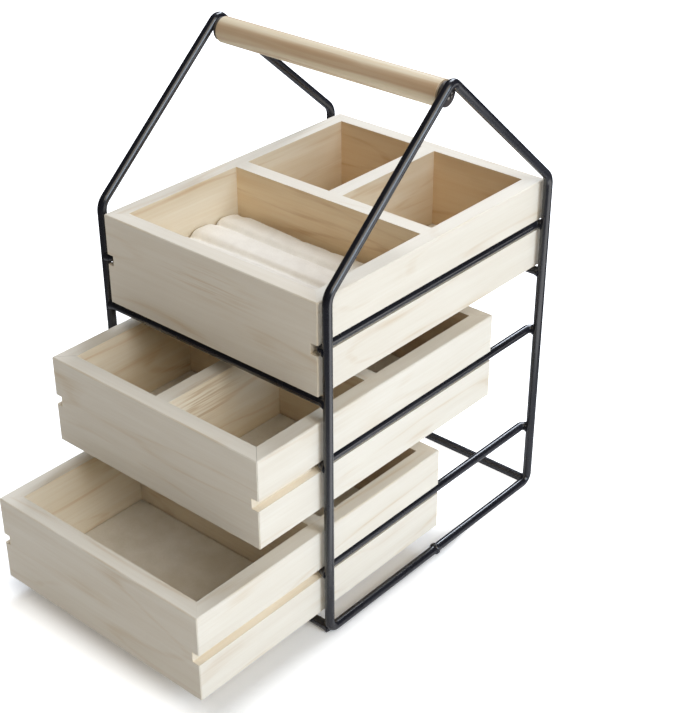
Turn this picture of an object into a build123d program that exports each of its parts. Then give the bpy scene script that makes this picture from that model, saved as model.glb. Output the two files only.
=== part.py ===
from build123d import *
import os

# Jewelry caddy: three wooden trays hang by grooves in their sides on the rails of a
# house-shaped frame of round steel rod, under a wooden carrying bar.
# Millimetres. X runs to the right seen from the front, the front faces -Y, Z is up.
# The origin is on the floor, in the middle of the frame's footprint.

# Frame
rod_diameter = 5.0
frame_width = 154.0        # between the planes of the two side frames
frame_depth = 178.0        # between front and rear posts
shoulder_clear = 3.5       # from the top tray's rim up to where post and roof lines would cross
roof_rise = 78.3           # from there up to where the two roof lines would cross
corner_bend = 5.0          # bend radii, on the middle of the rod
shoulder_bend = 9.0
roof_bend = 5.0
joint_bead_diameter = 6.8  # butt weld that closes each loop
joint_bead_length = 3.4
joint_bead_lift = 0.1      # the butt weld is ground back to this height over the floor
weld_diameter = 6.4        # collar round each welded rod end
weld_length = 1.6
bar_end_inset = 1.0        # welded bars are cut this far short of the post's middle
lower_bar_inset = 1.0      # lower crossbars stand this far inside the posts

# Rails
rail_inset = 5.5           # from the side frame's plane to the rail
rail_bend = 3.0

# Handle
grip_diameter = 14.0
grip_drop = 7.5            # from the crossing of the roof lines down to the grip's axis
grip_edge = 0.8
plate_thickness = 1.5
plate_diameter = 12.6
screw_diameter = 3.0
screw_length = 16.0
screw_tip_diameter = 0.8
screw_head_diameter = 5.4
screw_head_height = 2.0
screw_head_round = 1.2
screw_slot_length = 3.2
screw_slot_width = 0.7
screw_slot_depth = 0.8
screw_clearance = 0.1
pilot_spare = 1.0          # the pilot hole is this much deeper than the screw

# Trays
tray_height = 51.0
tray_lift = 13.0           # floor to the underside of the lowest tray
tray_spacing = 14.5        # from one tray's rim to the next tray's underside
tray_side_gap = 1.5        # tray side to post
tray_overhang = 1.0        # beyond the rear posts
wall_thickness = 9.0
wall_edge = 0.5            # broken edges
divider_thickness = 9.0
floor_thickness = 4.0
floor_recess = 1.5
floor_slot_depth = 4.0
floor_clearance = 0.2
rail_top_gap = 0.3
rail_bottom_gap = 0.6
rail_side_gap = 0.5
crossbar_gap = 0.5         # top tray over the upper crossbars
overcut = 1.0              # how far a cut runs past the face that it opens

# Linings
liner_thickness = 1.5
liner_gap = 0.5
liner_edge = 0.6
roll_count = 4
roll_crown = 21.5          # top of the rolls over the tray floor
roll_valley = 16.0
roll_end_drop = 3.5        # how far the rolls sag towards their ends
roll_end_round = 4.0
crown_ease = 0.05          # the sagging line passes this far over the rolls' middle
pad_gap = 0.4

# How far the drawers stand open at rest
middle_open = 42.5
bottom_open = 86.0

# Sizes that follow
rod_radius = rod_diameter / 2
half_width = frame_width / 2
half_depth = frame_depth / 2
inner_face = half_width - rod_radius
weld_root = inner_face + rod_radius / 2
tray_width = 2 * (inner_face - tray_side_gap)
tray_depth = frame_depth + rod_diameter + tray_overhang
inner_width = tray_width - 2 * wall_thickness
inner_depth = tray_depth - 2 * wall_thickness
front_closed = -half_depth - rod_radius
groove_height = rod_diameter + rail_top_gap + rail_bottom_gap
groove_depth = tray_width / 2 - (half_width - rail_inset - rod_radius - rail_side_gap)
rail_rise = tray_height / 2 + groove_height / 2 - rail_top_gap - rod_radius
floor_top = floor_recess + floor_thickness
cell_depth = (inner_depth - divider_thickness) / 2
tray_bottoms = [tray_lift + step * (tray_height + tray_spacing) for step in range(3)]
upper_bar_height = tray_bottoms[2] - crossbar_gap - rod_radius
shoulder_height = tray_bottoms[2] + tray_height + shoulder_clear
roof_height = shoulder_height + roof_rise
grip_height = roof_height - grip_drop


def save(shape, name):
    shape.label = name
    export_step(shape, os.path.join("parts", name + ".step"))


def straight_rod(start, end, diameter=rod_diameter):
    # A round bar from one point to another.
    axis = Vector(end) - Vector(start)
    plane = Plane(origin=start, z_dir=axis)
    return extrude(plane * Circle(diameter / 2), axis.length)


def bent_rod(points, radii, closed=False):
    # A round bar along straight runs joined by tangent arcs.
    path = FilletPolyline(points, radius=radii, close=closed)
    section = Plane(origin=path @ 0, z_dir=path % 0) * Circle(rod_radius)
    return sweep(section, path=path)


def weld_bead(point, toward):
    # A collar of weld metal where a rod end meets the rod that carries it.
    length = weld_length + weld_root - inner_face
    plane = Plane(origin=point, z_dir=toward)
    wide = plane * Circle(weld_diameter / 2)
    narrow = plane.offset(length) * Circle(rod_radius)
    return loft([wide, narrow])


def side_frame(side):
    # One rod bent into the outline of a house and closed by a butt weld in the bottom run.
    x = side * half_width
    low = rod_radius
    corners = [
        (x, half_depth, low),
        (x, half_depth, shoulder_height),
        (x, 0, roof_height),
        (x, -half_depth, shoulder_height),
        (x, -half_depth, low),
    ]
    bends = [corner_bend, shoulder_bend, roof_bend, shoulder_bend, corner_bend]
    return bent_rod(corners, bends, closed=True) + joint_bead(side)


def joint_bead(side):
    # The butt weld: a swelling round the bottom run, ground back underneath.
    x = side * half_width
    middle = rod_radius
    half = joint_bead_length / 2
    surface = middle + rod_radius
    top = middle + joint_bead_diameter / 2
    arc = ThreePointArc((-half, surface), (0, top), (half, surface))
    base = Polyline((half, surface), (half, middle), (-half, middle), (-half, surface))
    outline = Plane.YZ.offset(x) * make_face(arc + base)
    bead = revolve(outline, Axis((x, 0, middle), (0, 1, 0)), 360)
    reach = joint_bead_diameter
    below = box_between((x - reach, -reach, -reach), (x + reach, reach, joint_bead_lift))
    return bead - below


def post_rods(side):
    # The straight posts of one side, as plain bars to shape the ends that meet them.
    x = side * half_width
    front = straight_rod((x, -half_depth, 0), (x, -half_depth, shoulder_height))
    rear = straight_rod((x, half_depth, 0), (x, half_depth, shoulder_height))
    return front + rear


def rail(side, height):
    # A rail runs inside its posts in the groove of a tray, and both ends turn out to them.
    x = side * (half_width - rail_inset)
    outer = side * (half_width - bar_end_inset)
    points = [
        (outer, -half_depth, height),
        (x, -half_depth, height),
        (x, half_depth, height),
        (outer, half_depth, height),
    ]
    bar = bent_rod(points, [rail_bend, rail_bend])
    for end in (-half_depth, half_depth):
        bar += weld_bead((side * weld_root, end, height), (-side, 0, 0))
    return bar - post_rods(side)


def crossbar(depth_place, height, carriers):
    # A straight bar between the side frames, its ends shaped to the rods and welded.
    reach = half_width - bar_end_inset
    bar = straight_rod((-reach, depth_place, height), (reach, depth_place, height))
    for side in (-1, 1):
        bar += weld_bead((side * weld_root, depth_place, height), (-side, 0, 0))
    for carrier in carriers:
        bar -= carrier
    return bar


def grip():
    # A turned bar between the end plates, with a pilot hole at each end.
    length = 2 * (inner_face - plate_thickness)
    bar = straight_rod((-length / 2, 0, grip_height), (length / 2, 0, grip_height), grip_diameter)
    rims = bar.edges().filter_by(GeomType.CIRCLE)
    bar = chamfer(rims, grip_edge)
    hole = screw_diameter + 2 * screw_clearance
    bite = screw_length - plate_thickness + pilot_spare
    for side in (-1, 1):
        end = side * length / 2
        bar -= straight_rod((end, 0, grip_height), (end - side * bite, 0, grip_height), hole)
    return bar


def end_plate(side):
    # A round plate welded under the peak, against the inner side of the rod.
    outer = side * inner_face
    inner = side * (inner_face - plate_thickness)
    plate = straight_rod((inner, 0, grip_height), (outer, 0, grip_height), plate_diameter)
    hole = screw_diameter + 2 * screw_clearance
    return plate - straight_rod((inner, 0, grip_height), (outer, 0, grip_height), hole)


def grip_screw(side):
    # A round-headed wood screw through the end plate into the grip.
    face = side * inner_face
    shank_end = face - side * screw_length
    tip_start = shank_end + side * screw_diameter
    shank = straight_rod((face, 0, grip_height), (tip_start, 0, grip_height), screw_diameter)
    cone_plane = Plane(origin=(tip_start, 0, grip_height), z_dir=(-side, 0, 0))
    wide = cone_plane * Circle(screw_diameter / 2)
    narrow = cone_plane.offset(screw_diameter) * Circle(screw_tip_diameter / 2)
    top = face + side * screw_head_height
    head = straight_rod((face, 0, grip_height), (top, 0, grip_height), screw_head_diameter)
    rim = head.edges().filter_by(GeomType.CIRCLE).sort_by(Axis.X)[-1 if side > 0 else 0]
    head = fillet(rim, screw_head_round)
    slot = Box(2 * screw_slot_depth, screw_slot_length, screw_slot_width)
    cross = Box(2 * screw_slot_depth, screw_slot_width, screw_slot_length)
    return shank + loft([wide, narrow]) + head - Pos(top, 0, grip_height) * (slot + cross)


def box_between(low, high):
    # A block from its lowest to its highest corner.
    size = [b - a for a, b in zip(low, high)]
    middle = [(a + b) / 2 for a, b in zip(low, high)]
    return Pos(*middle) * Box(*size)


def rail_grooves(front, bottom):
    # The grooves in both sides of a tray, open at the front and the rear.
    low = bottom + tray_height / 2 - groove_height / 2
    inner = tray_width / 2 - groove_depth
    outer = tray_width / 2 + overcut
    start = front - overcut
    end = front + tray_depth + overcut
    right = box_between((inner, start, low), (outer, end, low + groove_height))
    left = box_between((-outer, start, low), (-inner, end, low + groove_height))
    return left + right


def floor_slot(front, bottom):
    # The slot round the inside of the walls that takes the floor panel.
    reach_x = inner_width / 2 + floor_slot_depth
    low = bottom + floor_recess
    near = front + wall_thickness - floor_slot_depth
    far = front + tray_depth - wall_thickness + floor_slot_depth
    return box_between((-reach_x, near, low), (reach_x, far, low + floor_thickness))


def tray_walls(front, bottom):
    # Four boards, mitred at the corners.
    x = tray_width / 2
    inner_x = inner_width / 2
    rear = front + tray_depth
    near = front + wall_thickness
    far = rear - wall_thickness
    outlines = {
        "front_wall": [(-x, front), (x, front), (inner_x, near), (-inner_x, near)],
        "rear_wall": [(-x, rear), (-inner_x, far), (inner_x, far), (x, rear)],
        "left_wall": [(-x, front), (-inner_x, near), (-inner_x, far), (-x, rear)],
        "right_wall": [(x, front), (x, rear), (inner_x, far), (inner_x, near)],
    }
    cuts = rail_grooves(front, bottom) + floor_slot(front, bottom)
    rounded = tray_block(front, bottom)
    walls = {}
    for name, points in outlines.items():
        outline = make_face(Polyline(*points, close=True))
        board = Pos(0, 0, bottom) * extrude(outline, tray_height)
        walls[name] = (board & rounded) - cuts
    return walls


def tray_block(front, bottom):
    # The outer block of a tray with its edges broken.
    x = tray_width / 2
    block = box_between((-x, front, bottom), (x, front + tray_depth, bottom + tray_height))
    return chamfer(block.edges(), wall_edge)


def tray_floor(front, bottom):
    # The floor panel in its slot.
    reach_x = inner_width / 2 + floor_slot_depth - floor_clearance
    near = front + wall_thickness - floor_slot_depth + floor_clearance
    far = front + tray_depth - wall_thickness + floor_slot_depth - floor_clearance
    low = bottom + floor_recess
    return box_between((-reach_x, near, low), (reach_x, far, low + floor_thickness))


def cross_divider(front, bottom):
    # The board from side to side that parts a tray into a front and a rear half.
    near = front + wall_thickness + cell_depth
    low = bottom + floor_top
    top = bottom + tray_height
    return box_between((-inner_width / 2, near, low), (inner_width / 2, near + divider_thickness, top))


def half_divider(near, bottom):
    # The board from front to rear that parts one half of a tray in two.
    low = bottom + floor_top
    top = bottom + tray_height
    x = divider_thickness / 2
    return box_between((-x, near, low), (x, near + cell_depth, top))


def liner(left, right, near, bottom):
    # A felt sheet on the floor of one compartment.
    low = bottom + floor_top
    far = near + cell_depth
    sheet = box_between(
        (left + liner_gap, near + liner_gap, low),
        (right - liner_gap, far - liner_gap, low + liner_thickness),
    )
    return chamfer(sheet.edges().group_by(Axis.Z)[-1], liner_edge)


def ring_pad(near, bottom):
    # Four soft rolls side by side, sewn down between, sagging and drawn in at both ends.
    low = bottom + floor_top
    start = near + pad_gap
    end = near + cell_depth - pad_gap
    pitch = (end - start) / roll_count
    crest = low + roll_crown
    valley = low + roll_valley
    edges = [Line((start, low), (start, valley))]
    for roll in range(roll_count):
        a = start + roll * pitch
        edges.append(ThreePointArc((a, valley), (a + pitch / 2, crest), (a + pitch, valley)))
    edges.append(Polyline((end, valley), (end, low), (start, low)))

    half = inner_width / 2 - pad_gap
    rolls = extrude(Plane.YZ.offset(-half) * make_face(edges), 2 * half, dir=(1, 0, 0))
    shoulder = crest - roll_end_drop
    sides = Polyline((-half, shoulder), (-half, low), (half, low), (half, shoulder))
    sag = ThreePointArc((half, shoulder), (0, crest + crown_ease), (-half, shoulder))
    outline = make_face(sides + sag)
    outline = fillet(outline.vertices().group_by(Axis.Y)[-1], roll_end_round)
    envelope = Plane.XZ.offset(-end - overcut) * outline
    return rolls & extrude(envelope, end - start + 2 * overcut, dir=(0, -1, 0))


def write_frame():
    for side, name in ((-1, "left"), (1, "right")):
        save(side_frame(side), "side_frame_" + name)
        save(end_plate(side), "handle_plate_" + name)
        for level, place in enumerate(("bottom", "middle", "top")):
            save(rail(side, tray_bottoms[level] + rail_rise), place + "_rail_" + name)
    posts = [post_rods(-1), post_rods(1)]
    frames = [side_frame(-1), side_frame(1)]
    lower_place = half_depth - lower_bar_inset
    save(crossbar(-half_depth, upper_bar_height, posts), "upper_front_crossbar")
    save(crossbar(half_depth, upper_bar_height, posts), "upper_rear_crossbar")
    save(crossbar(-lower_place, rod_radius, frames), "lower_front_crossbar")
    save(crossbar(lower_place, rod_radius, frames), "lower_rear_crossbar")
    save(grip(), "handle_grip")
    save(Compound([grip_screw(-1), grip_screw(1)]), "handle_screws")


def write_tray(prefix, front, bottom):
    for name, wall in tray_walls(front, bottom).items():
        save(wall, prefix + "_" + name)
    save(tray_floor(front, bottom), prefix + "_floor")
    save(cross_divider(front, bottom), prefix + "_cross_divider")


def write_trays():
    side = inner_width / 2
    middle = divider_thickness / 2
    fronts = [front_closed - bottom_open, front_closed - middle_open, front_closed]
    for prefix, front, bottom in zip(("bottom_drawer", "middle_drawer", "top_tray"), fronts, tray_bottoms):
        write_tray(prefix, front, bottom)
    near = [front + wall_thickness for front in fronts]
    far = [start + cell_depth + divider_thickness for start in near]

    save(liner(-side, side, near[0], tray_bottoms[0]), "bottom_drawer_front_liner")
    save(liner(-side, side, far[0], tray_bottoms[0]), "bottom_drawer_rear_liner")

    save(half_divider(near[1], tray_bottoms[1]), "middle_drawer_front_divider")
    save(liner(-side, -middle, near[1], tray_bottoms[1]), "middle_drawer_front_left_liner")
    save(liner(middle, side, near[1], tray_bottoms[1]), "middle_drawer_front_right_liner")
    save(liner(-side, side, far[1], tray_bottoms[1]), "middle_drawer_rear_liner")

    save(half_divider(far[2], tray_bottoms[2]), "top_tray_rear_divider")
    save(ring_pad(near[2], tray_bottoms[2]), "top_tray_ring_pad")
    save(liner(-side, -middle, far[2], tray_bottoms[2]), "top_tray_rear_left_liner")
    save(liner(middle, side, far[2], tray_bottoms[2]), "top_tray_rear_right_liner")


os.makedirs("parts", exist_ok=True)
write_frame()
write_trays()
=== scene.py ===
import math

import bmesh
import bpy
from mathutils import Matrix, Vector, noise


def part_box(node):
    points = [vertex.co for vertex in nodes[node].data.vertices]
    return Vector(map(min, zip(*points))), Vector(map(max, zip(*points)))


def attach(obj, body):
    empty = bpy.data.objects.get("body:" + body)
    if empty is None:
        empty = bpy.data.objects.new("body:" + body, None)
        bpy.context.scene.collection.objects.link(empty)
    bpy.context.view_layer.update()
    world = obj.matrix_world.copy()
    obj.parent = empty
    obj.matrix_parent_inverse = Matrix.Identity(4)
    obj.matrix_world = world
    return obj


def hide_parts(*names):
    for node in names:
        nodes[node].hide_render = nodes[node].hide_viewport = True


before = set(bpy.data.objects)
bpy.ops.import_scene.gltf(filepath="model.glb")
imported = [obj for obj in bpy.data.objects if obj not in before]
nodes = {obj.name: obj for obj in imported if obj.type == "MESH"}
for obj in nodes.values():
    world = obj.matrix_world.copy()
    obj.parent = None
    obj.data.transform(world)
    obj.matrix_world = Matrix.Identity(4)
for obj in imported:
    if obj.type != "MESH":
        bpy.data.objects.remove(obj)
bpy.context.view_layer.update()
scene = bpy.context.scene
mm = 0.001
trays = ("bottom_drawer", "middle_drawer", "top_tray")
print("frame loaded,", len(nodes), "CAD nodes")


# Material helpers

def linear(hexText):
    # an sRGB hex colour as linear values, by the sRGB curve's own constants
    parts = [int(hexText[i:i + 2], 16) / 255 for i in (1, 3, 5)]
    return [p / 12.92 if p <= 0.04045 else ((p + 0.055) / 1.055) ** 2.4 for p in parts] + [1.0]


def add(tree, kind, inputs=None, take=0, **settings):
    # one shader node with its settings, values and links; gives back the output "take"
    made = tree.nodes.new("ShaderNode" + kind)
    for name, value in settings.items():
        setattr(made, name, value)
    for socket, value in (inputs or {}).items():
        if isinstance(value, bpy.types.NodeSocket):
            tree.links.new(value, made.inputs[socket])
        else:
            made.inputs[socket].default_value = value
    return made.outputs[take]


def layered(tree, colour, *layers):
    # lays each tone over the colour so far by its share; a tone is a hex text or a socket
    for share, tone in layers:
        under, over = (linear(part) if isinstance(part, str) else part for part in (colour, tone))
        colour = add(tree, "Mix", {0: share, 6: under, 7: over}, take=2, data_type="RGBA")
    return colour


def startMaterial(name, shader):
    made = bpy.data.materials.new(name)
    made.use_nodes = True
    tree = made.node_tree
    tree.nodes.clear()
    surface = tree.nodes.new("ShaderNodeBsdfPrincipled")
    for socket, value in shader.items():
        surface.inputs[socket].default_value = value
    output = tree.nodes.new("ShaderNodeOutputMaterial")
    tree.links.new(surface.outputs[0], output.inputs["Surface"])
    return made, tree, surface, add(tree, "TexCoord", take="Object")


def endMaterial(tree, surface, colour, relief, values):
    # the finished colour, and a relief "bump" millimetres deep and as strong as "bumpShow"
    tree.links.new(colour, surface.inputs["Base Color"])
    bump = add(tree, "Bump", {"Height": relief, "Distance": values["bump"] * mm, "Strength": values["bumpShow"]})
    tree.links.new(bump, surface.inputs["Normal"])


def grain(tree, place, along, run, across, detail):
    # noise drawn out to "run" millimetres along the grain and "across" millimetres across it
    scale = [1 / (across * mm)] * 3
    scale[along] = 1 / (run * mm)
    space = add(tree, "Mapping", {"Vector": place, "Scale": scale})
    return add(tree, "TexNoise", {"Vector": space, "Scale": 1.0, **detail})


def wave(tree, value, turns):
    # a sine wave with so many turns for each unit of the value
    turned = add(tree, "Math", {0: value, 1: 2 * math.pi * turns}, operation="MULTIPLY")
    return add(tree, "Math", {0: turned}, operation="SINE")


def pastBox(tree, place, low, high):
    # how far past the faces of the box from low to high, along each axis; below zero inside
    low, high = Vector(low), Vector(high)
    offset = add(tree, "VectorMath", {0: place, 1: (low + high) / 2}, operation="SUBTRACT")
    offset = add(tree, "VectorMath", {0: offset}, operation="ABSOLUTE")
    return add(tree, "VectorMath", {0: offset, 1: (high - low) / 2}, operation="SUBTRACT")


def insideBox(tree, place, low, high):
    # 1 inside the box from low to high, and 0 outside
    parts = add(tree, "SeparateXYZ", {0: pastBox(tree, place, low, high)}).node.outputs
    most = add(tree, "Math", {0: parts[0], 1: parts[1]}, operation="MAXIMUM")
    most = add(tree, "Math", {0: most, 1: parts[2]}, operation="MAXIMUM")
    return add(tree, "Math", {0: most, 1: 0.0}, operation="LESS_THAN")


def fromAxis(tree, place, node):
    # the way out from the middle line of a turned piece that lies along x
    low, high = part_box(node)
    offset = add(tree, "VectorMath", {0: place, 1: (low + high) / 2}, operation="SUBTRACT")
    return add(tree, "VectorMath", {0: offset, 1: (0.0, 1.0, 1.0)}, operation="MULTIPLY")


def trayBox(tray):
    corners = [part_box(f"{tray}_{side}_wall") for side in ("front", "rear", "left", "right")]
    low = Vector([min(corner[0][axis] for corner in corners) for axis in range(3)])
    high = Vector([max(corner[1][axis] for corner in corners) for axis in range(3)])
    return low, high


# Tray boards: whitewashed paulownia, planed and sanded. A thin milky wash over a pale straight grain,
# barer and tanner inside the tray, with painted light and shade on the bare wood and painted shade outside the top
# tray, raw where the rail's groove was cut after washing, and painted paler there for the light that fills it.
board = {
    "shader": {"Roughness": 0.6, "Specular IOR Level": 0.35},
    "washLight": "#F1EDE3", "washDark": "#EAE4D8", "washStreak": "#DFD1BA",
    # painted light and shade: the y boards, whose inside faces turn to the side light, are drawn paler and less
    # tan than the x boards, which face front and rear in shade
    "bareLight": ("#E9D6B6", "#E9DFCB"), "bareDark": ("#E0C7A3", "#E0D1B7"),   # boards that run in x, in y: painted light and shade, the y boards drawn paler
    # the last pair colours both the thin dark ring lines and the painted shade towards the rear of the tray
    "bareStreak": ("#BE9A6E", "#CBB08C"), "bareLateAndRearShade": ("#BE966A", "#C9A67A"),
    # the groove's raw wood, drawn paler than the bare wood inside: painted light standing in for the bounce that
    # fills the shaded groove
    "grooveLight": "#F8F0E1", "grooveDark": "#EFE4D0",
    "seam": "#5E4833", "rub": "#E0D2B9", "figure": "#C8AA80",
    # the grain: mm along it, mm across it, and how it is broken up
    "line": (46, 1.3, {"Detail": 4.0, "Roughness": 0.62}),    # fine lines, drawn about twice as coarse to show
    "band": (75, 7, {"Detail": 2.0}),                         # broad soft bands of paler and darker wood
    "ring": (210, 30, {"Detail": 1.5, "Roughness": 0.45, "Distortion": 0.25}),   # its contours are growth rings
    "ringCount": 6, "bandShare": 0.6,
    "patch": 38,                                              # mm, how far a streaky patch reaches
    # where each pattern starts and is full
    "ringShow": {"From Min": 0.1, "From Max": 1.0}, "lateShow": {"From Min": 0.86, "From Max": 1.0},
    "patchShow": {"From Min": 0.47, "From Max": 0.68}, "fineShow": {"From Min": 0.36, "From Max": 0.66},
    "narrowShow": {"From Min": 0.46, "From Max": 0.6},
    # how strong streaks and the thin dark ring lines are, under the wash and bare
    "streakWashed": 0.75, "streakBare": 0.6, "lateWashed": 0.22, "lateBare": 0.5,
    "paintedLightCross": {"bottom_drawer": 0.5, "middle_drawer": 0.3, "top_tray": 0.0},   # painted light: how far the cross boards inside are drawn toward the paler wash tone
    # painted light and shade: how much lighter or darker the bare wood is drawn inside each tray, on the boards
    # that run in x and in y
    "litAndShadedInside": {"bottom_drawer": (1.0, 1.12), "middle_drawer": (1.0, 1.18), "top_tray": (1.06, 0.96)},
    # painted shade: how far the outside of each tray is darkened toward the streak tone, on the boards that run in
    # x and in y
    "paintedShadeOutside": {"bottom_drawer": (0.0, 0.0), "middle_drawer": (0.0, 0.0), "top_tray": (0.18, 0.13)},
    "rearShadeFrom": 0.5, "rearShadeMost": 0.4,      # painted shade: how far back the bare wood darkens towards the rear, and how much
    # where the figure shows strongest: tray, centre from the tray's front top middle, reach, strength; mm
    "figured": [("top_tray", (4, 0, -15), (44, 6, 13), 0.3), ("middle_drawer", (4, 34, -10), (8, 30, 18), 0.7)],
    "figureFull": 0.2,                     # share of that reach inside which it shows in full
    "wallThick": 9, "slack": 0.2,          # mm
    "grooveDeep": 4.5, "grooveHigh": 5.9, "grooveSlack": 0.1, "grooveIn": 0.15,   # mm
    "seamWide": 0.18, "seamPatch": 9, "rubWide": 1.0,                             # mm
    "seamShow": {"bottom_drawer": 0.15, "middle_drawer": 1.0, "top_tray": 0.15},   # only one joint opened
    "seamTight": {"From Min": 0.4, "From Max": 0.62, "To Min": 0.1, "To Max": 1.0},
    "gloss": {"To Min": 0.52, "To Max": 0.68},
    "bump": 0.07, "bumpShow": 0.6,         # mm
}


def boardMaterial(tray, along):
    low, high = trayBox(tray)
    made, tree, surface, place = startMaterial(f"washedPaulownia_{tray}_{'xy'[along]}", board["shader"])
    lines, bands, figure = (grain(tree, place, along, *board[name]) for name in ("line", "band", "ring"))
    ringWave = wave(tree, figure, board["ringCount"])
    rings = add(tree, "MapRange", {"Value": ringWave, **board["ringShow"]})
    late = add(tree, "MapRange", {"Value": ringWave, **board["lateShow"]})
    patch = add(tree, "TexNoise", {"Vector": place, "Scale": 1 / (board["patch"] * mm), "Detail": 1.0})
    patch = add(tree, "MapRange", {"Value": patch, **board["patchShow"]})
    fine = add(tree, "Mix", {0: board["bandShare"], 2: lines, 3: bands})
    fine = add(tree, "MapRange", {"Value": fine, **board["fineShow"]})
    narrow = add(tree, "MapRange", {"Value": lines, **board["narrowShow"]})
    streak = add(tree, "Math", {0: rings, 1: patch}, operation="MULTIPLY")
    streak = add(tree, "Math", {0: streak, 1: fine}, operation="MULTIPLY")
    late = add(tree, "Math", {0: late, 1: fine}, operation="MULTIPLY")   # the thin dark line that closes a ring
    marks = {"streakWashed": streak, "streakBare": streak, "lateWashed": late, "lateBare": late}
    streakWashed, streakBare, lateWashed, lateBare = (
        add(tree, "Math", {0: mark, 1: board[share]}, operation="MULTIPLY") for share, mark in marks.items())
    # the fourth layer is painted shade, darkening the top tray's outside
    washed = layered(tree, board["washLight"], (fine, board["washDark"]), (streakWashed, board["washStreak"]),
                     (board["paintedShadeOutside"][tray][along], board["washStreak"]), (lateWashed, board["figure"]))
    bare = layered(tree, board["bareLight"][along], (fine, board["bareDark"][along]),
                   (streakBare, board["bareStreak"][along]), (lateBare, board["bareLateAndRearShade"][along]))
    # painted light and shade: the bare wood drawn lighter or darker in each tray
    paintedLightShadeTint = [board["litAndShadedInside"][tray][along]] * 3 + [1.0]
    bare = add(tree, "Mix", {0: 1.0, 6: bare, 7: paintedLightShadeTint}, take=2, data_type="RGBA", blend_type="MULTIPLY")
    # painted light: the cross boards inside the lower trays are drawn toward the paler wash tone
    if along == 0:
        bare = layered(tree, bare, (board["paintedLightCross"][tray], washed))
    # painted shade: the bare wood darkens towards the rear of each tray, deeper in the shade
    depth = add(tree, "SeparateXYZ", {0: place}, take=1)
    depth = add(tree, "MapRange", {"Value": depth, "From Min": low.y + board["rearShadeFrom"] * (high.y - low.y),
                                   "From Max": high.y, "To Max": board["rearShadeMost"]})
    bare = layered(tree, bare, (depth, board["bareLateAndRearShade"][along]))
    groove = layered(tree, board["grooveLight"], (fine, board["grooveDark"]))
    wall, slack = board["wallThick"] * mm, board["slack"] * mm
    inner = insideBox(tree, place, (low.x + wall - slack, low.y + wall - slack, low.z),
                      (high.x - wall + slack, high.y - wall + slack, high.z - slack))
    colour = layered(tree, washed, (inner, bare))
    for owner, centre, reach, strength in board["figured"]:
        if owner == tray:
            spot = Vector((0.0, low.y, high.z)) + Vector(centre) * mm
            offset = add(tree, "VectorMath", {0: place, 1: spot}, operation="SUBTRACT")
            perReach = [1 / (size * mm) for size in reach]
            offset = add(tree, "VectorMath", {0: offset, 1: perReach}, operation="MULTIPLY")
            offset = add(tree, "VectorMath", {0: offset}, operation="LENGTH", take=1)
            near = add(tree, "MapRange", {"Value": offset, "From Min": 1.0, "From Max": board["figureFull"],
                                          "To Max": strength}, interpolation_type="SMOOTHSTEP")
            near = add(tree, "Math", {0: near, 1: narrow}, operation="MULTIPLY")
            colour = layered(tree, colour, (near, board["figure"]))
    # the raw groove, on both sides alike and past both ends, painted paler than the bare wood for the light that
    # fills it
    mirrored = add(tree, "VectorMath", {0: place}, operation="ABSOLUTE")
    middle = (low.z + high.z) / 2
    rise = (board["grooveHigh"] / 2 + board["grooveSlack"]) * mm
    cut = insideBox(tree, mirrored, (high.x - board["grooveDeep"] * mm - slack, -1, middle - rise),
                    (high.x - board["grooveIn"] * mm, 1, middle + rise))
    colour = layered(tree, colour, (cut, groove))
    # distances in from the side, the front or rear, and the top or bottom of the tray
    inward = add(tree, "VectorMath", {0: pastBox(tree, place, low, high), "Scale": -1.0}, operation="SCALE")
    side, end, flat = add(tree, "SeparateXYZ", {0: inward}).node.outputs
    # the mitred joint opens and closes along its seam, which stays off the groove
    gap = add(tree, "Math", {0: side, 1: end}, operation="SUBTRACT")
    gap = add(tree, "Math", {0: gap}, operation="ABSOLUTE")
    seam = add(tree, "MapRange", {"Value": gap, "From Min": board["seamWide"] * mm, "From Max": 0.0})
    corner = add(tree, "Math", {0: side, 1: wall + slack}, operation="LESS_THAN")
    tight = add(tree, "TexNoise", {"Vector": place, "Scale": 1 / (board["seamPatch"] * mm), "Detail": 1.0})
    tight = add(tree, "MapRange", {"Value": tight, **board["seamTight"]})
    for factor in (corner, tight, board["seamShow"][tray]):
        seam = add(tree, "Math", {0: seam, 1: factor}, operation="MULTIPLY")
    seam = add(tree, "Math", {0: seam, 1: cut}, operation="SUBTRACT", use_clamp=True)
    # the wash is rubbed thin along the edges, in patches
    nearer = add(tree, "Math", {0: side, 1: end}, operation="MINIMUM")
    farther = add(tree, "Math", {0: side, 1: end}, operation="MAXIMUM")
    farther = add(tree, "Math", {0: farther, 1: flat}, operation="MINIMUM")
    edge = add(tree, "Math", {0: nearer, 1: farther}, operation="MAXIMUM")
    rub = add(tree, "MapRange", {"Value": edge, "From Min": board["rubWide"] * mm, "From Max": 0.0})
    rub = add(tree, "Math", {0: rub, 1: patch}, operation="MULTIPLY")
    colour = layered(tree, colour, (rub, board["rub"]), (seam, board["seam"]))
    tree.links.new(add(tree, "MapRange", {"Value": fine, **board["gloss"]}), surface.inputs["Roughness"])
    relief = add(tree, "Math", {0: fine, 1: seam}, operation="SUBTRACT")
    endMaterial(tree, surface, colour, relief, board)
    return made


for tray in trays:
    grainX, grainY = boardMaterial(tray, 0), boardMaterial(tray, 1)
    for name, piece in nodes.items():
        if name.startswith(tray) and not name.endswith(("liner", "pad")):
            lengthwise = name.endswith(("left_wall", "right_wall", "front_divider", "rear_divider", "floor"))
            piece.material_slots[0].material = grainY if lengthwise else grainX
print("tray boards finished")


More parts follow.
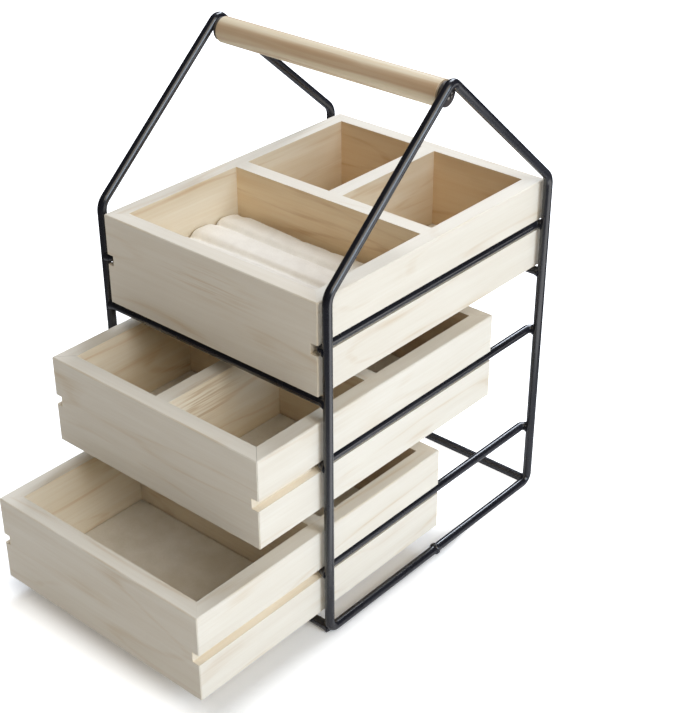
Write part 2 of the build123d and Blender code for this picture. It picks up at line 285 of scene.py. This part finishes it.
# Carrying bar: a bare beech dowel, turned and sanded. Long soft grain lines, warmer than the trays,
# a painted core shade in a tan band along the front where the bar turns from the light, and greyer end grain.
grip = {
    "shader": {"Roughness": 0.45, "Coat Weight": 0.8, "Coat Roughness": 0.45},
    "light": "#F8EDD5", "dark": "#EDDAB8", "streak": "#CFA97F", "coreShade": "#CBA37A", "end": "#A6957C",
    # the grain: mm along it, mm across it, and how it is broken up
    "line": (70, 1.1, {"Detail": 4.0, "Roughness": 0.6}), "ring": (190, 9, {"Detail": 1.5, "Distortion": 0.2}),
    "ringCount": 5, "ringShow": {"To Max": 0.45}, "fineShow": {"From Min": 0.3, "From Max": 0.72},
    "coreShadeWay": (0.0, -0.86, 0.51), "coreShadeWander": 0.35,       # where round the bar the painted core shade lies
    "coreShadeShow": {"From Min": 0.98, "From Max": 1.17, "To Max": 0.78},
    "endFrom": 0.6, "bump": 0.05, "bumpShow": 0.5,             # mm
}


def gripMaterial():
    made, tree, surface, place = startMaterial("beechDowel_turned", grip["shader"])
    lines, figure = (grain(tree, place, 0, *grip[name]) for name in ("line", "ring"))
    rings = add(tree, "MapRange", {"Value": wave(tree, figure, grip["ringCount"]), **grip["ringShow"]})
    fine = add(tree, "MapRange", {"Value": lines, **grip["fineShow"]})
    # painted shade: a darker band round the front of the bar, its edge wandering with the grain's figure
    outward = add(tree, "VectorMath", {0: fromAxis(tree, place, "handle_grip")}, operation="NORMALIZE")
    facing = add(tree, "VectorMath", {0: outward, 1: grip["coreShadeWay"]}, take=1, operation="DOT_PRODUCT")
    wander = add(tree, "Math", {0: figure, 1: grip["coreShadeWander"]}, operation="MULTIPLY")
    facing = add(tree, "Math", {0: facing, 1: wander}, operation="ADD")
    coreShade = add(tree, "MapRange", {"Value": facing, **grip["coreShadeShow"]}, interpolation_type="SMOOTHSTEP")
    sideways = add(tree, "SeparateXYZ", {0: add(tree, "VectorMath", {0: place}, operation="ABSOLUTE")})
    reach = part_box("handle_grip")[1].x - grip["endFrom"] * mm
    cutEnd = add(tree, "Math", {0: sideways, 1: reach}, operation="GREATER_THAN")
    colour = layered(tree, grip["light"], (fine, grip["dark"]), (rings, grip["streak"]), (coreShade, grip["coreShade"]),
                     (cutEnd, grip["end"]))
    endMaterial(tree, surface, colour, fine, grip)
    return made


nodes["handle_grip"].material_slots[0].material = gripMaterial()
print("carrying bar finished")


# Rods: mild steel, powder coated satin blue-black and baked. A slight orange peel that softens the
# light line along each rod.
coat = {
    "shader": {"Roughness": 0.27, "Coat Weight": 0.4, "Coat Roughness": 0.12},
    "dark": "#15161B", "light": "#21222B",
    "peel": 0.9, "mottle": 14,             # mm
    "gloss": {"From Min": 0.3, "From Max": 0.7, "To Min": 0.22, "To Max": 0.31},
    "bump": 0.02, "bumpShow": 0.35,        # mm
}


def coatMaterial():
    made, tree, surface, place = startMaterial("powderCoatedSteel_satin", coat["shader"])
    mottle = add(tree, "TexNoise", {"Vector": place, "Scale": 1 / (coat["mottle"] * mm), "Detail": 3.0})
    tree.links.new(add(tree, "MapRange", {"Value": mottle, **coat["gloss"]}), surface.inputs["Roughness"])
    peel = add(tree, "TexNoise", {"Vector": place, "Scale": 1 / (coat["peel"] * mm), "Detail": 1.0})
    endMaterial(tree, surface, layered(tree, coat["dark"], (mottle, coat["light"])), peel, coat)
    return made


rodCoat = coatMaterial()
for name, piece in nodes.items():
    if name.startswith("side_frame") or "_rail_" in name or name.endswith("crossbar"):
        piece.material_slots[0].material = rodCoat
print("rods finished")


# Grip plates: mild steel discs, punched, in a thin dark coat, drawn with a lighter rim round the edge in patches.
# Screws:
# zinc plated steel, with turned rings on the head.
plate = {
    "shader": {"Metallic": 0.4, "Roughness": 0.5},
    "dark": "#2A2526", "light": "#4B4444", "rim": "#8A8683",
    "grit": 0.7, "rimWide": 0.35, "bump": 0.06, "bumpShow": 0.6,   # mm
}
screw = {
    "shader": {"Metallic": 1.0, "Roughness": 0.28},
    "tone": "#96928D", "shade": "#6B6763",
    "rings": 0.35, "bump": 0.02, "bumpShow": 0.5,                  # mm
}


def plateMaterial():
    made, tree, surface, place = startMaterial("punchedSteel_darkCoat", plate["shader"])
    grit = add(tree, "TexNoise", {"Vector": place, "Scale": 1 / (plate["grit"] * mm), "Detail": 4.0})
    low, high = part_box("handle_plate_right")
    away = add(tree, "VectorMath", {0: fromAxis(tree, place, "handle_plate_right")}, operation="LENGTH", take=1)
    inRim = (high.z - low.z) / 2 - plate["rimWide"] * mm
    # a lighter rim round the edge, in patches of grit
    rim = add(tree, "Math", {0: away, 1: inRim}, operation="GREATER_THAN")
    rim = add(tree, "Math", {0: rim, 1: grit}, operation="MULTIPLY")
    colour = layered(tree, plate["dark"], (grit, plate["light"]), (rim, plate["rim"]))
    endMaterial(tree, surface, colour, grit, plate)
    return made


def screwMaterial():
    made, tree, surface, place = startMaterial("zincPlatedSteel_turned", screw["shader"])
    away = add(tree, "VectorMath", {0: fromAxis(tree, place, "handle_screws")}, operation="LENGTH", take=1)
    ringWave = wave(tree, away, 1 / (screw["rings"] * mm))
    rings = add(tree, "MapRange", {"Value": ringWave, "From Min": -1.0})
    endMaterial(tree, surface, layered(tree, screw["tone"], (rings, screw["shade"])), rings, screw)
    return made


plateCoat = plateMaterial()
for side in ("left", "right"):
    nodes["handle_plate_" + side].material_slots[0].material = plateCoat
nodes["handle_screws"].material_slots[0].material = screwMaterial()
print("plates and screws finished")


# Cloth and new pieces

def clothMaterial(name, values):
    # cloth whose tone and relief follow its fibres, and whose tone also drifts more slowly
    made, tree, surface, place = startMaterial(name, values["shader"])
    fibre, mottle = (add(tree, "TexNoise", {"Vector": place, "Scale": 1 / (size * mm), **detail})
                     for size, detail in (values["fibre"], values["mottle"]))
    mixed = add(tree, "Math", {0: fibre, 1: mottle}, operation="ADD")
    share = add(tree, "MapRange", {"Value": mixed, **values["darkShow"]})
    endMaterial(tree, surface, layered(tree, values["light"], (share, values["dark"])), fibre, values)
    return made


def meshFrom(bm, name):
    mesh = bpy.data.meshes.new(name)
    bm.to_mesh(mesh)
    bm.free()
    return mesh


def newPiece(mesh, material, body, replaced):
    piece = bpy.data.objects.new(mesh.name, mesh)
    scene.collection.objects.link(piece)
    piece.data.materials.append(material)
    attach(piece, body)
    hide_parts(replaced)
    return piece


# Tray liners: pressed wool felt, cut with a knife. A matt, slightly mottled fibre surface with a soft
# cut edge.
felt = {
    "shader": {"Roughness": 0.95, "Specular IOR Level": 0.2, "Sheen Weight": 0.25, "Sheen Roughness": 0.6},
    "light": "#EFECE5", "dark": "#DDD8CC", "darkShow": {"From Min": 0.7, "From Max": 1.35},
    "fibre": (0.8, {"Detail": 5.0, "Roughness": 0.7, "Distortion": 1.5}),     # mm, drawn coarser to show
    "mottle": (11, {"Detail": 3.0}),                                          # mm
    "bump": 0.16, "bumpShow": 0.8,                                            # mm
    "thick": 1.2, "lift": 0.22, "wave": 26, "cell": 2.6,                      # mm
    "edge": 0.3, "edgeSegments": 2, "edgeAngle": 60,                          # mm, and degrees
}
woolFelt = clothMaterial("woolFelt_pressed", felt)


def feltSheet(node, body):
    low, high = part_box(node)
    wide, deep = high.x - low.x, high.y - low.y
    centre = (low + high) / 2
    centre.z = low.z + felt["thick"] / 2 * mm
    across, along = (round(size / (felt["cell"] * mm)) for size in (wide, deep))
    shape = Matrix.Translation(centre) @ Matrix.Diagonal((wide, deep, 1, 1))
    bm = bmesh.new()
    bmesh.ops.create_grid(bm, x_segments=across, y_segments=along, size=0.5, matrix=shape)
    for vert in bm.verts:
        rise = noise.noise(vert.co / (felt["wave"] * mm)) * 0.5 + 0.5   # from 0 to 1
        vert.co.z += rise * felt["lift"] * mm
    piece = newPiece(meshFrom(bm, node.replace("liner", "felt")), woolFelt, body, node)
    thickness = piece.modifiers.new("thickness", "SOLIDIFY")
    thickness.thickness, thickness.offset = felt["thick"] * mm, 0.0
    rounding = piece.modifiers.new("cutEdge", "BEVEL")
    rounding.width, rounding.segments = felt["edge"] * mm, felt["edgeSegments"]
    rounding.limit_method, rounding.angle_limit = "ANGLE", math.radians(felt["edgeAngle"])
    for face in piece.data.polygons:
        face.use_smooth = True


for name in sorted(nodes):
    if name.endswith("_liner"):
        feltSheet(name, next(tray for tray in trays if name.startswith(tray)))
print("felt liners laid")


# Ring pad: foam rolls in cotton velvet. A short dense pile, paler where it turns to the light.
pad = {
    "shader": {"Roughness": 0.9, "Specular IOR Level": 0.2, "Sheen Weight": 0.55, "Sheen Roughness": 0.45},
    "light": "#F8F5EE", "dark": "#ECE8E0", "darkShow": {"From Min": 0.75, "From Max": 1.3},
    "fibre": (0.7, {"Detail": 4.0, "Roughness": 0.7}),        # mm, the pile, drawn coarser to show
    "mottle": (9, {"Detail": 3.0, "Distortion": 0.6}),        # mm
    "bump": 0.18, "bumpShow": 0.7,                            # mm
    "rolls": 4, "shoulderSegments": 6, "endSegments": 4,
    "inset": 0.7, "overlap": 0.5, "voxel": 1.5, "shoulder": 7.0, "roundEnd": 3.6,   # mm
    # the swelling: its steps, the foam's pressure, how much spare velvet there is (below zero is more),
    # the furthest a point may move, how high the held base reaches, and how far all stays inside the space; mm
    "steps": 20, "pressure": 4.0, "spare": -0.03, "quality": 5, "mostMove": 1.6, "held": 2.5, "inside": 0.05,
}


def settled(piece):
    # the evaluated shape as a mesh of its own, with the modifiers gone
    result = bpy.data.meshes.new_from_object(piece.evaluated_get(bpy.context.evaluated_depsgraph_get()))
    piece.modifiers.clear()
    piece.data = result


def ringPad(node):
    low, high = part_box(node)
    inset = pad["inset"] * mm
    wide = high.x - low.x - 2 * inset
    pitch = (high.y - low.y - 2 * inset) / pad["rolls"]
    tall = high.z - low.z - inset
    bm = bmesh.new()
    for number in range(pad["rolls"]):
        middle = Vector(((low.x + high.x) / 2, low.y + inset + (number + 0.5) * pitch, low.z + tall / 2))
        shape = Matrix.Translation(middle) @ Matrix.Diagonal((wide, pitch + pad["overlap"] * mm, tall, 1))
        bmesh.ops.create_cube(bm, size=1, matrix=shape)
    # the two long upper edges of each roll
    crests = [edge for edge in bm.edges if edge.calc_length() > wide / 2
              and min(vert.co.z for vert in edge.verts) > low.z + tall / 2]
    bmesh.ops.bevel(bm, geom=crests, offset=pad["shoulder"] * mm, segments=pad["shoulderSegments"],
                    profile=0.5, affect="EDGES", material=-1)
    # both end faces of each roll, all round but for the bottom
    bm.normal_update()
    ends = [edge for edge in bm.edges if max(vert.co.z for vert in edge.verts) > low.z + tall / 4
            and any(abs(face.normal.x) > 0.99 for face in edge.link_faces)]
    bmesh.ops.bevel(bm, geom=ends, offset=pad["roundEnd"] * mm, segments=pad["endSegments"],
                    profile=0.5, affect="EDGES", material=-1, clamp_overlap=True)
    velvet = clothMaterial("cottonVelvet_ivory", pad)
    piece = newPiece(meshFrom(bm, "top_tray_velvet_pad"), velvet, "top_tray", node)
    blended = piece.modifiers.new("remesh", "REMESH")
    blended.mode, blended.voxel_size = "VOXEL", pad["voxel"] * mm
    settled(piece)
    print("ring pad blocked out,", len(piece.data.vertices), "points")
    swell(piece, low)
    for vert in piece.data.vertices:
        for axis in range(3):
            least, most = low[axis] + pad["inside"] * mm, high[axis] - pad["inside"] * mm
            vert.co[axis] = min(max(vert.co[axis], least), most)
    finer = piece.modifiers.new("finer", "SUBSURF")
    finer.levels = finer.render_levels = 1
    for face in piece.data.polygons:
        face.use_smooth = True


def swell(piece, low):
    # the foam presses the velvet outwards, and the base stays flat on the tray floor
    start = [vert.co.copy() for vert in piece.data.vertices]
    base = piece.vertex_groups.new(name="base")
    base.add([v.index for v in piece.data.vertices if v.co.z < low.z + pad["held"] * mm], 1.0, "REPLACE")
    cloth = piece.modifiers.new("swell", "CLOTH")
    settings = cloth.settings
    settings.vertex_group_mass = "base"
    settings.use_pressure = True
    settings.uniform_pressure_force = pad["pressure"]
    settings.shrink_min = pad["spare"]
    settings.effector_weights.gravity = 0.0
    settings.quality = pad["quality"]
    cloth.point_cache.frame_start, cloth.point_cache.frame_end = 1, pad["steps"]
    scene.frame_start, scene.frame_end = 1, pad["steps"]
    for step in range(1, pad["steps"] + 1):
        scene.frame_set(step)
    settled(piece)
    scene.frame_set(1)
    most = pad["mostMove"] * mm
    for vert, was in zip(piece.data.vertices, start):
        moved = vert.co - was
        if moved.length > most:
            vert.co = was + moved * (most / moved.length)
    print("ring pad swollen")


ringPad("top_tray_ring_pad")


# Studio: a plain pale sweep that blows out to white a little way off the object, a large soft box low on
# the right, another high behind, a small one behind that draws the light line along the lower rods, a wide
# one before the fronts, and a dim warm surround that only just fills what they leave in shade.
studio = {
    "shader": {"Roughness": 0.9, "Specular IOR Level": 0.1, "Emission Color": (1, 1, 1, 1)},
    "seen": "#F6F9FD", "bounce": "#F3F0EB", "mirroredNear": "#E0E2E8", "mirroredFar": "#55555A",
    "floorSize": 9.0,                       # m
    "clear": (0, 36), "lift": (0.06, 0.9),  # mm, from where to where the floor turns white, and how much
    "frontIn": 15, "sideIn": 3,             # mm, it starts this far under the drawer's front and sides
    "mirroredRun": (30, 260),               # mm, from where to where the rods see it darken
    "bounceGlow": 0.09,                     # the sweep's own light on the upright faces
    # the brightly lit stretch of floor to the right that the posts mirror: how strong, its slant, and from
    # where to where it comes in, sideways and from the front; mm
    "mirrorGlow": 2.0, "mirrorSlant": (1.0, -0.6, 0.0), "mirrorSide": (165, 225), "mirrorFront": (-170, -100),
    "surround": "#F7EEE2", "surroundPower": 0.16, "surroundGloss": 0.03,
    # the soft boxes: degrees round and up from the point they are aimed at, m away and across, W
    "aim": (0.0, -0.04, 0.12),
    "side": {"turn": 2, "height": 21, "away": 2.2, "size": 1.05, "power": 20.8, "tone": "#DCEDFF"},
    "rear": {"turn": 100, "height": 59, "away": 1.9, "size": 0.9, "power": 19.5, "tone": "#F0F6FF"},
    "glint": {"turn": 110, "height": 38, "away": 1.9, "size": 0.5, "power": 9, "tone": "#E8F1FF"},
    "front": {"turn": -20, "height": 44, "away": 2.2, "size": 1.6, "power": 17.8, "tone": "#FFF3E1"},
}


def softBox(name):
    values = studio[name]
    light = bpy.data.lights.new(name, "AREA")
    light.shape, light.size, light.energy = "DISK", values["size"], values["power"]
    light.color = linear(values["tone"])[:3]
    turn, height = math.radians(values["turn"]), math.radians(values["height"])
    way = Vector((math.cos(height) * math.cos(turn), math.cos(height) * math.sin(turn), math.sin(height)))
    lamp = bpy.data.objects.new(name, light)
    lamp.location = Vector(studio["aim"]) + way * values["away"]
    lamp.rotation_mode = "QUATERNION"
    lamp.rotation_quaternion = (-way).to_track_quat("-Z", "Y")
    scene.collection.objects.link(lamp)


def floorMaterial():
    made, tree, surface, place = startMaterial("paintedBoard_matt", studio["shader"])
    # how far along the floor from where the whitening starts; 1 m up and down keeps the height out of it
    low, high = trayBox("bottom_drawer")
    low = Vector((low.x + studio["sideIn"] * mm, low.y + studio["frontIn"] * mm, -1.0))
    high = Vector((high.x - studio["sideIn"] * mm, high.y, 1.0))
    away = add(tree, "VectorMath", {0: pastBox(tree, place, low, high), 1: (0.0, 0.0, 0.0)}, operation="MAXIMUM")
    away = add(tree, "VectorMath", {0: away}, take=1, operation="LENGTH")
    near, far = studio["clear"]
    least, most = studio["lift"]
    clear = add(tree, "MapRange", {"Value": away, "From Min": near * mm, "From Max": far * mm, "To Min": least,
                                   "To Max": most}, interpolation_type="SMOOTHSTEP")
    seen, scattered, mirrored = (add(tree, "LightPath", take=f"Is {kind} Ray")
                                 for kind in ("Camera", "Diffuse", "Glossy"))
    lift = add(tree, "Math", {0: clear, 1: seen}, operation="MULTIPLY")
    glow = add(tree, "Math", {0: scattered, 1: studio["bounceGlow"]}, operation="MULTIPLY")
    slanted = add(tree, "VectorMath", {0: place, 1: studio["mirrorSlant"]}, take=1, operation="DOT_PRODUCT")
    depth = add(tree, "SeparateXYZ", {0: place}, take=1)
    shine = add(tree, "Math", {0: mirrored, 1: studio["mirrorGlow"]}, operation="MULTIPLY")
    for value, (start, stop) in ((slanted, studio["mirrorSide"]), (depth, studio["mirrorFront"])):
        within = add(tree, "MapRange", {"Value": value, "From Min": start * mm, "From Max": stop * mm})
        shine = add(tree, "Math", {0: shine, 1: within}, operation="MULTIPLY")
    glow = add(tree, "Math", {0: glow, 1: shine}, operation="ADD")
    tree.links.new(add(tree, "Math", {0: lift, 1: glow}, operation="ADD"), surface.inputs["Emission Strength"])
    start, stop = studio["mirroredRun"]
    distant = add(tree, "MapRange", {"Value": away, "From Min": start * mm, "From Max": stop * mm})
    glossed = layered(tree, studio["mirroredNear"], (distant, studio["mirroredFar"]))
    colour = layered(tree, studio["bounce"], (mirrored, glossed), (seen, studio["seen"]))
    tree.links.new(colour, surface.inputs["Base Color"])
    return made


for name in ("side", "rear", "glint", "front"):
    softBox(name)

bm = bmesh.new()
bmesh.ops.create_grid(bm, x_segments=1, y_segments=1, size=studio["floorSize"] / 2)
floor = bpy.data.objects.new("studioFloor", meshFrom(bm, "studioFloor"))
scene.collection.objects.link(floor)
floor.data.materials.append(floorMaterial())

world = bpy.data.worlds.new("studio")
scene.world = world
world.use_nodes = True
worldTree = world.node_tree
worldTree.nodes.clear()
mirrored = add(worldTree, "LightPath", take="Is Glossy Ray")
power = add(worldTree, "MapRange", {"Value": mirrored, "To Min": studio["surroundPower"],
                                    "To Max": studio["surroundGloss"]})
dim = add(worldTree, "Background", {"Color": linear(studio["surround"]), "Strength": power})
white = add(worldTree, "Background", {"Color": (1, 1, 1, 1), "Strength": 1.0})
around = add(worldTree, "MixShader", {0: add(worldTree, "LightPath", take="Is Camera Ray"), 1: dim, 2: white})
worldOutput = worldTree.nodes.new("ShaderNodeOutputWorld")
worldTree.links.new(around, worldOutput.inputs["Surface"])

# Camera: placed by the corners and edges of the real object as the photograph shows them
camera = {
    "at": (0.47380, -0.53554, 0.52147), "turn": 41.07, "down": 30.66, "roll": -0.20,   # m, and degrees
    "focal": 1495.12, "frame": (680, 713), "sensor": 36.0,                             # pixels, and mm
}
cameraData = bpy.data.cameras.new("camera")
cameraData.sensor_width = camera["sensor"]
cameraData.lens = camera["focal"] * camera["sensor"] / max(camera["frame"])
cameraObject = bpy.data.objects.new("camera", cameraData)
scene.collection.objects.link(cameraObject)
cameraObject.matrix_world = (Matrix.Translation(camera["at"])
                             @ Matrix.Rotation(math.radians(camera["turn"]), 4, "Z")
                             @ Matrix.Rotation(math.radians(90 - camera["down"]), 4, "X")
                             @ Matrix.Rotation(math.radians(camera["roll"]), 4, "Z"))
scene.camera = cameraObject
scene.view_settings.view_transform = "Standard"
print("studio and camera placed")
